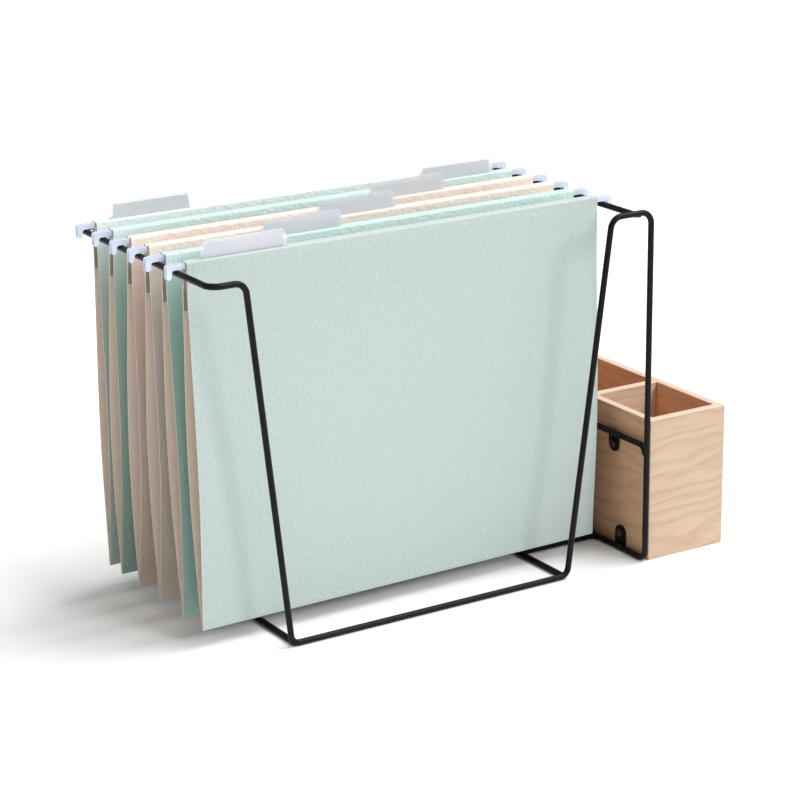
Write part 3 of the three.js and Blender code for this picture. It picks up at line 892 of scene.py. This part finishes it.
def make_card(index, shape, centre_y, low_x, high_x, outer):
    """The folded card: outer face, bare inner face, pale cut edges and the hems' flaps in painted shade.
    """
    columns = []
    for i in range(COLUMNS + 1):
        across = 0.5 - 0.5 * math.cos(math.pi * i / COLUMNS)
        across = CROWDING * across + (1 - CROWDING) * i / COLUMNS
        x = low_x - WIDER_LEFT + (high_x - low_x + WIDER_LEFT + WIDER_RIGHT) * across
        columns.append((x, card_line(shape, across)))
    rows = len(columns[0][1])
    points = []
    for face in (-1, 1):
        for x, line in columns:
            for j, (y, z) in enumerate(line):
                before = Vector(line[max(j - 1, 0)])
                after = Vector(line[min(j + 1, rows - 1)])
                along = (after - before).normalized()
                points.append(place(
                    x,
                    centre_y + y + face * along.y * CARD_T / 2,
                    z - face * along.x * CARD_T / 2,
                ))
    layer = len(columns) * rows

    def at(face, i, j):
        return face * layer + i * rows + j

    faces, finish = [], []
    for i in range(COLUMNS):
        for j in range(rows - 1):
            faces.append((at(0, i, j), at(0, i + 1, j), at(0, i + 1, j + 1), at(0, i, j + 1)))
            finish.append(INSIDE)
            faces.append((at(1, i, j), at(1, i, j + 1), at(1, i + 1, j + 1), at(1, i + 1, j)))
            # the flaps' outer faces get the painted shade material instead of the card's colour
            finish.append(OUTSIDE if FLAP_ROWS <= j < rows - 1 - FLAP_ROWS else SHADED_FLAP)
    for j in range(rows - 1):
        faces.append((at(0, 0, j), at(0, 0, j + 1), at(1, 0, j + 1), at(1, 0, j)))
        last = COLUMNS
        faces.append((at(0, last, j), at(1, last, j), at(1, last, j + 1), at(0, last, j + 1)))
        finish += [CUT_EDGE, CUT_EDGE]
    for i in range(COLUMNS):
        last = rows - 1
        faces.append((at(0, i, 0), at(1, i, 0), at(1, i + 1, 0), at(0, i + 1, 0)))
        faces.append((at(0, i, last), at(0, i + 1, last), at(1, i + 1, last), at(1, i, last)))
        finish += [CUT_EDGE, CUT_EDGE]
    name = f"folder_{index}_card"
    mesh = mesh_from(name, points, faces)
    card = add_object(name, mesh, outer, CARD_INSIDE, CARD_EDGE, CARD_FLAP_SHADE)
    mesh.polygons.foreach_set("material_index", finish)
    mesh.polygons.foreach_set("use_smooth", [f != CUT_EDGE for f in finish])
    sharpen(mesh)
    return finish_piece(card, f"folder_{index}", CARD_SLOTS[index - 1], f"folder_{index}_jacket")


def sharpen(mesh, angle=40):
    """Marks the mesh's sharp edges, so that smooth shading stops there."""
    shape = bmesh.new()
    shape.from_mesh(mesh)
    for edge in shape.edges:
        if len(edge.link_faces) == 2 and edge.calc_face_angle(0) > math.radians(angle):
            edge.smooth = False
    shape.to_mesh(mesh)
    shape.free()


SHANK_END_X = 149.5
ROD_TOP_Z = design_box("folder_1_front_rod")[1].z
ROD_HEIGHT = 9
ROD_INSET = 0.05  # the seen rod is this much thinner on each face than the CAD rod
ROD_SHIFT = 0.25  # and stands this much nearer to the folder's middle
ROD_ROUND = 0.28
HOOK_BAR_Z = ROD_TOP_Z - 3.4
HOOK_NOTCH_X = 159.2
HOOK_END_X = 162.7
HOOK_TIP_Z = ROD_TOP_Z - 8.8
HOOK_CORNER = 1.4
HOOK_FILLET = 1.6
TIP_CORNER = 2.1


def rod_outline():
    """One rod's outline in x and z: a strip that ends in a bar over each rail and a drooping tip."""
    bottom, top = ROD_TOP_Z - ROD_HEIGHT, ROD_TOP_Z
    fillet = HOOK_FILLET

    def arc(x, z, radius, start, end, steps=8):
        return [
            (x + radius * math.cos(math.radians(start + (end - start) * i / steps)),
             z + radius * math.sin(math.radians(start + (end - start) * i / steps)))
            for i in range(steps + 1)
        ]

    half = [(SHANK_END_X, bottom)]
    half += arc(SHANK_END_X + fillet, HOOK_BAR_Z - fillet, fillet, 180, 90)
    half += arc(HOOK_NOTCH_X - fillet, HOOK_BAR_Z - fillet, fillet, 90, 0)
    half += arc(HOOK_NOTCH_X + TIP_CORNER, HOOK_TIP_Z + TIP_CORNER, TIP_CORNER, 180, 270)
    half += arc(HOOK_END_X - HOOK_CORNER, HOOK_TIP_Z + HOOK_CORNER, HOOK_CORNER, 270, 360)
    half += arc(HOOK_END_X - HOOK_CORNER, top - HOOK_CORNER, HOOK_CORNER, 0, 90)
    return half + [(-x, z) for x, z in reversed(half)]


def make_rod(index, where):
    """One rod with its two hooks, cut from a flat strip."""
    node = f"folder_{index}_{where}_rod"
    low, high = design_box(node)
    shift = (low.x + high.x) / 2
    outline = rod_outline()
    inward = ROD_SHIFT if where == "front" else -ROD_SHIFT
    faces_y = (low.y + ROD_INSET + inward, high.y - ROD_INSET + inward)
    shape = bmesh.new()
    sides = [[shape.verts.new(place(x + shift, y, z)) for x, z in outline] for y in faces_y]
    shape.faces.new(sides[0])
    shape.faces.new(list(reversed(sides[1])))
    for j in range(len(outline)):
        k = (j + 1) % len(outline)
        shape.faces.new((sides[0][k], sides[0][j], sides[1][j], sides[1][k]))
    bmesh.ops.recalc_face_normals(shape, faces=shape.faces)
    name = f"folder_{index}_{where}_hook_rod"
    mesh = bpy.data.meshes.new(name)
    shape.to_mesh(mesh)
    shape.free()
    rod = rounded(add_object(name, mesh, HOOK), ROD_ROUND * MM, 3, 60)
    return finish_piece(rod, f"folder_{index}", "coated_hook", node)


TAB_TAPER = 3.5  # how much narrower a tab is at its top
TAB_CORNER = 2.0
TAB_COLUMNS = 28
FILM_T = 0.25
LABEL_TAPER = 3.2
LABEL_CORNER = 0.5
LABEL_EDGE = 0.05  # how much a label's edges are softened
CORNER_STEPS = 5


def trapezoid(centre_x, foot, top, low_z, high_z, corner):
    """Outline in x and z, with rounded upper corners."""
    slope = (foot - top) / 2 / (high_z - low_z)
    upper = top / 2 + slope * corner
    points = [(-foot / 2, low_z), (foot / 2, low_z), (upper, high_z - corner)]
    for i in range(1, CORNER_STEPS + 1):
        angle = math.radians(90 * i / CORNER_STEPS)
        points.append((top / 2 - corner * (1 - math.cos(angle)), high_z - corner * (1 - math.sin(angle))))
    for i in range(CORNER_STEPS - 1, -1, -1):
        angle = math.radians(90 * i / CORNER_STEPS)
        points.append((-top / 2 + corner * (1 - math.cos(angle)), high_z - corner * (1 - math.sin(angle))))
    points.append((-upper, high_z - corner))
    return [(centre_x + x, z) for x, z in points]


def slab(name, outline, low_y, high_y, material, edge):
    """A flat sheet of that outline, its edges softened by edge."""
    shape = bmesh.new()
    sides = [[shape.verts.new(place(x, y, z)) for x, z in outline] for y in (low_y, high_y)]
    shape.faces.new(sides[0])
    shape.faces.new(list(reversed(sides[1])))
    for j in range(len(outline)):
        k = (j + 1) % len(outline)
        shape.faces.new((sides[0][k], sides[0][j], sides[1][j], sides[1][k]))
    bmesh.ops.recalc_face_normals(shape, faces=shape.faces)
    mesh = bpy.data.meshes.new(name)
    shape.to_mesh(mesh)
    shape.free()
    return rounded(add_object(name, mesh, material), edge * MM, 2, 60)


def make_index_tab(index):
    """Clear folded film: a front and a rear leaf joined by a round fold along the top, and its label."""
    node = f"folder_{index}_index_tab"
    low, high = design_box(node)
    centre_x = (low.x + high.x + WIDER_TAB) / 2
    foot = high.x - low.x + WIDER_TAB
    top = foot - TAB_TAPER
    thickness = high.y - low.y
    radius = thickness / 2 - FILM_T / 2
    middle_y = (low.y + high.y) / 2
    fold_z = high.z - thickness / 2
    line = [(-radius, low.z), (-radius, (low.z + fold_z) / 2), (-radius, fold_z)]
    for i in range(1, FOLD_STEPS):
        angle = math.pi * (1 - i / FOLD_STEPS)
        line.append((radius * math.cos(angle), fold_z + radius * math.sin(angle)))
    line += [(radius, fold_z), (radius, (low.z + fold_z) / 2), (radius, low.z)]
    points = []
    for face in (-1, 1):
        for i in range(TAB_COLUMNS + 1):
            across = 2 * i / TAB_COLUMNS - 1
            for j, (y, z) in enumerate(line):
                before, after = Vector(line[max(j - 1, 0)]), Vector(line[min(j + 1, len(line) - 1)])
                along = (after - before).normalized()
                rise = (z - low.z) / (high.z - low.z)
                half = (foot + (top - foot) * rise) / 2
                droop = max(0, (abs(across) * half - (half - TAB_CORNER)) / TAB_CORNER)
                fall = TAB_CORNER * (1 - math.sqrt(max(0, 1 - droop ** 2))) * max(0, rise) ** 6
                points.append(place(
                    centre_x + across * half,
                    middle_y + y + face * along.y * FILM_T / 2,
                    z - fall - face * along.x * FILM_T / 2,
                ))
    rows = len(line)
    layer = (TAB_COLUMNS + 1) * rows
    faces = []
    for i in range(TAB_COLUMNS):
        for j in range(rows - 1):
            a, b = i * rows + j, (i + 1) * rows + j
            faces.append((a, b, b + 1, a + 1))
            faces.append((layer + a, layer + a + 1, layer + b + 1, layer + b))
    for i in (0, TAB_COLUMNS):
        for j in range(rows - 1):
            a = i * rows + j
            faces.append((a, a + 1, layer + a + 1, layer + a))
    for i in range(TAB_COLUMNS):
        for j in (0, rows - 1):
            a, b = i * rows + j, (i + 1) * rows + j
            faces.append((a, layer + a, layer + b, b))
    name = f"folder_{index}_clear_tab"
    mesh = mesh_from(name, points, faces)
    fix_normals(mesh)
    sharpen(mesh)
    tab = add_object(name, mesh, FILM)
    finish_piece(tab, f"folder_{index}", "clear_plastic", node)

    low, high = design_box(f"folder_{index}_label")
    wide = high.x - low.x + WIDER_TAB
    outline = trapezoid(centre_x, wide, wide - LABEL_TAPER, low.z, high.z, LABEL_CORNER)
    # the front folder's label gets a darker paper: painted shade that offsets the key light only it
    # receives
    card = SHADED_FRONT_LABEL if index == 1 else LABEL
    paper = slab(f"folder_{index}_paper_label", outline, low.y, high.y, card, LABEL_EDGE)
    finish_piece(paper, f"folder_{index}", "label_paper", f"folder_{index}_label")


def make_folders():
    for i, shape in enumerate(SHAPES):
        index = i + 1
        low, high = design_box(f"folder_{index}_jacket")
        front_rod, rear_rod = middle(f"folder_{index}_front_rod"), middle(f"folder_{index}_rear_rod")
        centre_y = ((front_rod + rear_rod) / 2 - ORIGIN).y / MM
        make_card(index, shape, centre_y, low.x, high.x, CARD_OUTSIDE[CARD_SLOTS[i]])
        make_rod(index, "front")
        make_rod(index, "rear")
        make_index_tab(index)


# ---------------------------------------------------------------- floor
FLOOR_HALF = 12  # metres


def make_floor():
    half = FLOOR_HALF
    points = [(-half, -half, 0), (half, -half, 0), (half, half, 0), (-half, half, 0)]
    floor = add_object("floor", mesh_from("floor", points, [(0, 1, 2, 3)]), floor_material())


# ---------------------------------------------------------------- build
CARD_SLOTS = ["card_mint", "card_teal", "card_blush", "card_blush", "card_teal", "card_grey"]
CARD_COLOURS = {  # the card's colour, the lighter colour painted on its front towards the fold as painted light (for the mint card a thin painted highlight under the fold) and the height that painted light fades over
    "card_mint": ((0.45, 0.532, 0.518), (0.56, 0.61, 0.60), 1.6),
    "card_teal": ((0.34, 0.51, 0.45), (0.70, 0.87, 0.84), 50),
    "card_blush": ((0.66, 0.53, 0.465), (0.98, 0.86, 0.79), 50),
    "card_grey": ((0.52, 0.57, 0.53), (0.88, 0.97, 0.98), 50),
}

make_camera()
make_light()
make_floor()
BLACK = wire_material()
STEEL = screw_material()
HOOK = hook_material()
FILM = plastic_material()
LABEL = label_material("label_paper", (0.80, 0.82, 0.88))
# painted shade: a darker copy of the label paper for the front folder, which stands in the key light
SHADED_FRONT_LABEL = label_material("label_paper_front_painted_shade", (0.62, 0.61, 0.68))
CARD_INSIDE = card_inner_material("card_inside", (0.83, 0.72, 0.615))
# painted shade: a dark olive for the flaps inside the hems, where the card's coloured side lies in shade
CARD_FLAP_SHADE = card_inner_material("card_flap_painted_shade", (0.40, 0.38, 0.31))
CARD_EDGE = card_edge_material()
CARD_OUTSIDE = {slot: card_outer_material(slot, *looks) for slot, looks in CARD_COLOURS.items()}
make_wires()
for tab_name, root_is_up in (("upper", True), ("lower", False)):
    make_screw(tab_name, *make_screw_tab(tab_name, root_is_up))
make_box()
make_folders()
